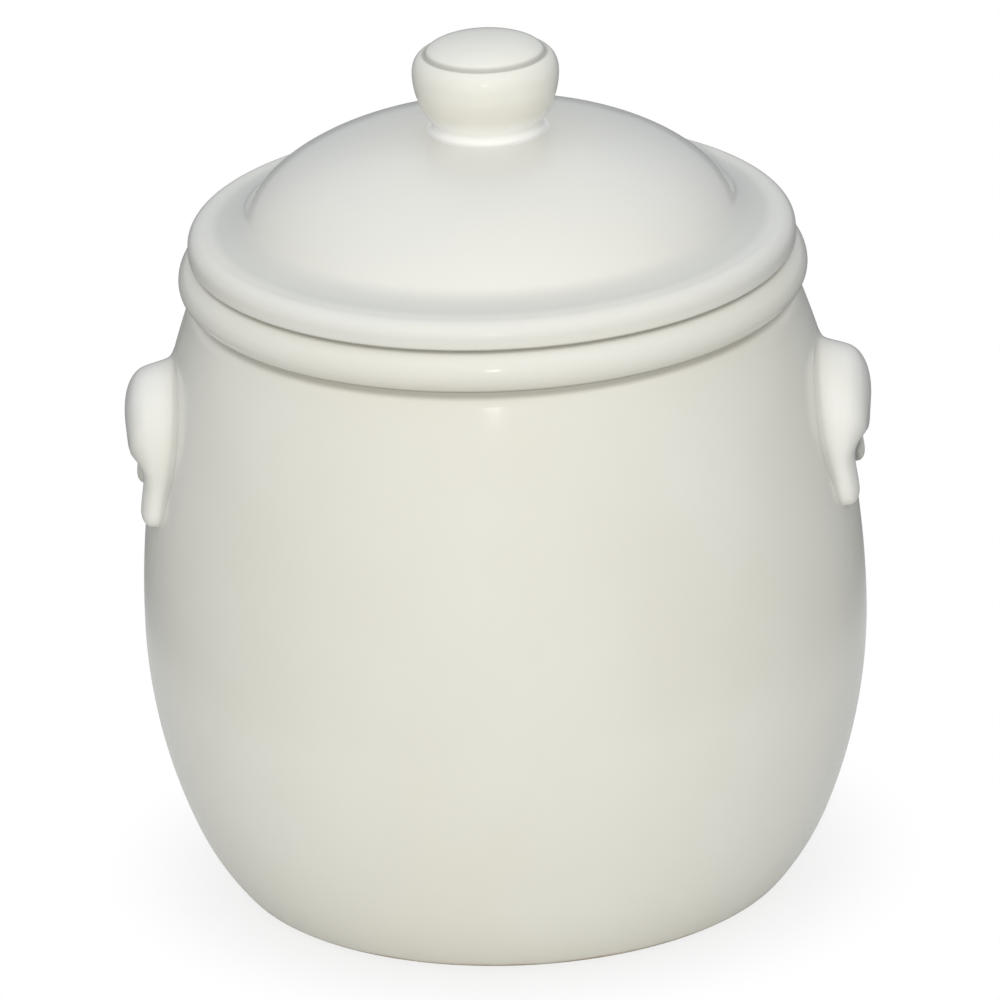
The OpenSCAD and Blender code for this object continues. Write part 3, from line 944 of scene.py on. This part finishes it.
class JAR_OT_set_stage(bpy.types.Operator):
    """Set the floor, the lights and the camera"""
    bl_idname = "cookie_jar.set_stage"
    bl_label = "Set Stage"

    # Radius of the floor and width of its outer ring
    FLOOR_R, FLOOR_RING = 6.0, 5.4
    # How far from the axis the floor darkens, its mirrored glow fades and its shadow ends
    DARKENS, GLOW_FADES, SHADOW_ENDS = (0.22, 0.32), (0.20, 0.28), (0.078, 0.125)
    # Shares of the floor's glow that the glaze mirrors and that are left at the foot
    MIRRORED, SHADED = 0.25, 0.80
    # Heights in the sky between which the glaze comes to mirror white
    SKY_WHITENS = (0.25, 0.95)
    # Where every lamp is aimed, and how near and far the camera sees
    TARGET, SIGHT = Vector((0.0, 0.0, 0.12)), (0.05, 50.0)

    def floor(self, look):
        """A round floor: grey in the light that it sends back, and white for the camera."""
        fresh_start()
        bpy.ops.mesh.primitive_circle_add(vertices=128, radius=self.FLOOR_R, fill_type="NGON",
                                          location=(0, 0, -0.2 * MM))
        floor = started("floor")
        bpy.ops.mesh.inset(thickness=self.FLOOR_RING)
        bpy.ops.object.mode_set(mode="OBJECT")
        bpy.ops.object.transform_apply()
        pale = bpy.data.materials.new("Pale floor")
        tree = emptied(pale)
        away = tree.nodes.new("ShaderNodeVectorMath")
        away.operation = "LENGTH"
        feed(tree, tree.nodes.new("ShaderNodeTexCoord").outputs["Object"], away.inputs[0])
        away = away.outputs["Value"]
        tone = mixed(tree, ramp_between(tree, away, *self.DARKENS), look.floor, look.far_floor)
        matt = add(tree, "ShaderNodeBsdfDiffuse", Color=tone)
        glow = add(tree, "ShaderNodeEmission", Color=WHITE)
        # The glaze mirrors some of the white near the jar, and a soft shadow stays round the foot
        path = tree.nodes.new("ShaderNodeLightPath").outputs
        near = ramp_between(tree, away, *self.GLOW_FADES, self.MIRRORED, 0.0)
        mirrored = times(tree, path["Is Glossy Ray"], near)
        seen = maths(tree, "MAXIMUM", path["Is Camera Ray"], mirrored)
        share = times(tree, seen, ramp_between(tree, away, *self.SHADOW_ENDS, self.SHADED, 1.0))
        blended(tree, share, matt, glow, "ShaderNodeOutputMaterial")
        floor.data.materials.append(pale)

    def surround(self, scene, look):
        """Soft light that grows towards the zenith, with white behind the jar for the camera."""
        world = bpy.data.worlds.new("Soft surround")
        tree = emptied(world)
        place = tree.nodes.new("ShaderNodeTexCoord").outputs["Generated"]
        parts = add(tree, "ShaderNodeSeparateXYZ", Vector=place)
        up = maths(tree, "MAXIMUM", parts.outputs["Z"], 0.0)
        sky = mixed(tree, maths(tree, "POWER", up, 2.0), look.horizon, look.zenith)
        soft = add(tree, "ShaderNodeBackground", Color=sky)
        white = add(tree, "ShaderNodeBackground", Color=WHITE)
        path = tree.nodes.new("ShaderNodeLightPath").outputs
        mirrored = times(tree, path["Is Glossy Ray"], ramp_between(tree, up, *self.SKY_WHITENS))
        seen = maths(tree, "MAXIMUM", path["Is Camera Ray"], mirrored)
        blended(tree, seen, soft, white, "ShaderNodeOutputWorld")
        scene.world = world

    def lamp(self, name, azimuth, elevation, wide, high, watts, tone=WHITE):
        """An area light aimed at the jar's middle; azimuth grows from the front to the right."""
        a, e = math.radians(azimuth), math.radians(elevation)
        toward = Vector((math.sin(a) * math.cos(e), -math.cos(a) * math.cos(e), math.sin(e)))
        away = bpy.context.scene.jar_stage.lamp_away
        bpy.ops.object.light_add(type="AREA", location=self.TARGET + toward * away)
        lamp = bpy.context.object
        lamp.name = name
        lamp.rotation_mode = "QUATERNION"
        lamp.rotation_quaternion = (-toward).to_track_quat("-Z", "Y")
        light = lamp.data
        light.shape, light.size, light.size_y = "ELLIPSE", wide, high
        light.energy, light.color = watts, tone
        return lamp

    def camera(self, scene, look):
        """A long lens at the height, roll and framing of the jar's picture."""
        e, r, a = look.tilt, look.roll, look.swing
        front = Vector((math.sin(a), -math.cos(a), 0.0))
        side = Vector((math.cos(a), math.sin(a), 0.0))
        back = math.cos(e) * front + Vector((0.0, 0.0, math.sin(e)))
        rise = Vector((0.0, 0.0, math.cos(e))) - math.sin(e) * front
        right = math.cos(r) * side + math.sin(r) * rise
        up = -math.sin(r) * side + math.cos(r) * rise
        focal = look.lens / SENSOR * PICTURE
        nod, sway = math.atan(FOOT_BELOW / focal), math.atan(FOOT_RIGHT / focal)
        turn = Matrix.Rotation(sway, 3, up) @ Matrix.Rotation(nod, 3, right)
        bpy.ops.object.camera_add(location=back * look.distance)
        camera = bpy.context.object
        camera.name = "camera"
        axes = Matrix((right, up, back)).transposed()
        camera.rotation_mode = "QUATERNION"
        camera.rotation_quaternion = (turn @ axes).to_quaternion()
        camera.data.lens = look.lens
        camera.data.sensor_width = SENSOR
        camera.data.clip_start, camera.data.clip_end = self.SIGHT
        scene.camera = camera

    def execute(self, context):
        scene, look = context.scene, context.scene.jar_stage
        scene.view_settings.view_transform = "Standard"
        self.floor(look)
        self.surround(scene, look)
        # Only the small lamp shows as a glint in the glaze
        for lamp in (
                self.lamp("front_light", -1.0, 20.0, 0.14, 0.14, look.key, (1.0, 0.98, 0.91)),
                self.lamp("back_fill", 180.0, 40.0, 1.8, 1.8, look.fill, (0.96, 0.98, 1.0)),
                self.lamp("left_fill", -75.0, 40.0, 1.2, 1.2, look.side),
                self.lamp("right_fill", 75.0, 40.0, 1.2, 1.2, look.side)):
            lamp.visible_glossy = False
        self.lamp("small_lamp", -0.5, 23.0, 0.06, 0.45, look.spark)
        self.camera(scene, look)
        fresh_start()
        return {"FINISHED"}


class JAR_PT_sidebar(bpy.types.Panel):
    """Sizes, colours and steps of the cookie jar"""
    bl_label = "Cookie Jar"
    bl_space_type = "VIEW_3D"
    bl_region_type = "UI"
    bl_category = "Cookie Jar"

    def draw(self, context):
        for holder in HOLDERS:
            group = getattr(context.scene, holder)
            box = self.layout.box()
            for name in group.bl_rna.properties.keys():
                if name not in {"rna_type", "name"}:
                    box.prop(group, name)
        for step in STEPS:
            self.layout.operator(step.bl_idname)


HOLDERS = {"jar_sizes": JarSizes, "jar_ears": EarSizes, "jar_lid": LidSizes,
           "jar_glaze": GlazeLooks, "jar_stage": StageLooks}
STEPS = (JAR_OT_mix_glaze, JAR_OT_throw_pot, JAR_OT_press_ears, JAR_OT_throw_lid, JAR_OT_set_ring,
         JAR_OT_throw_knob, JAR_OT_set_stage)
CLASSES = (*HOLDERS.values(), *STEPS, JAR_PT_sidebar)


def register():
    """Adds the classes and the scene's settings."""
    for cls in CLASSES:
        bpy.utils.register_class(cls)
    for holder, cls in HOLDERS.items():
        setattr(bpy.types.Scene, holder, PointerProperty(type=cls))


def unregister():
    """Takes the settings and the classes away again."""
    for holder in HOLDERS:
        delattr(bpy.types.Scene, holder)
    for cls in reversed(CLASSES):
        bpy.utils.unregister_class(cls)


def main():
    """Builds the jar piece by piece and sets its stage."""
    register()
    bpy.ops.cookie_jar.mix_glaze()
    bpy.ops.cookie_jar.throw_pot()
    bpy.ops.cookie_jar.press_ears()
    bpy.ops.cookie_jar.throw_lid()
    bpy.ops.cookie_jar.set_ring()
    bpy.ops.cookie_jar.throw_knob()
    bpy.ops.cookie_jar.set_stage()


if __name__ == "__main__":
    main()
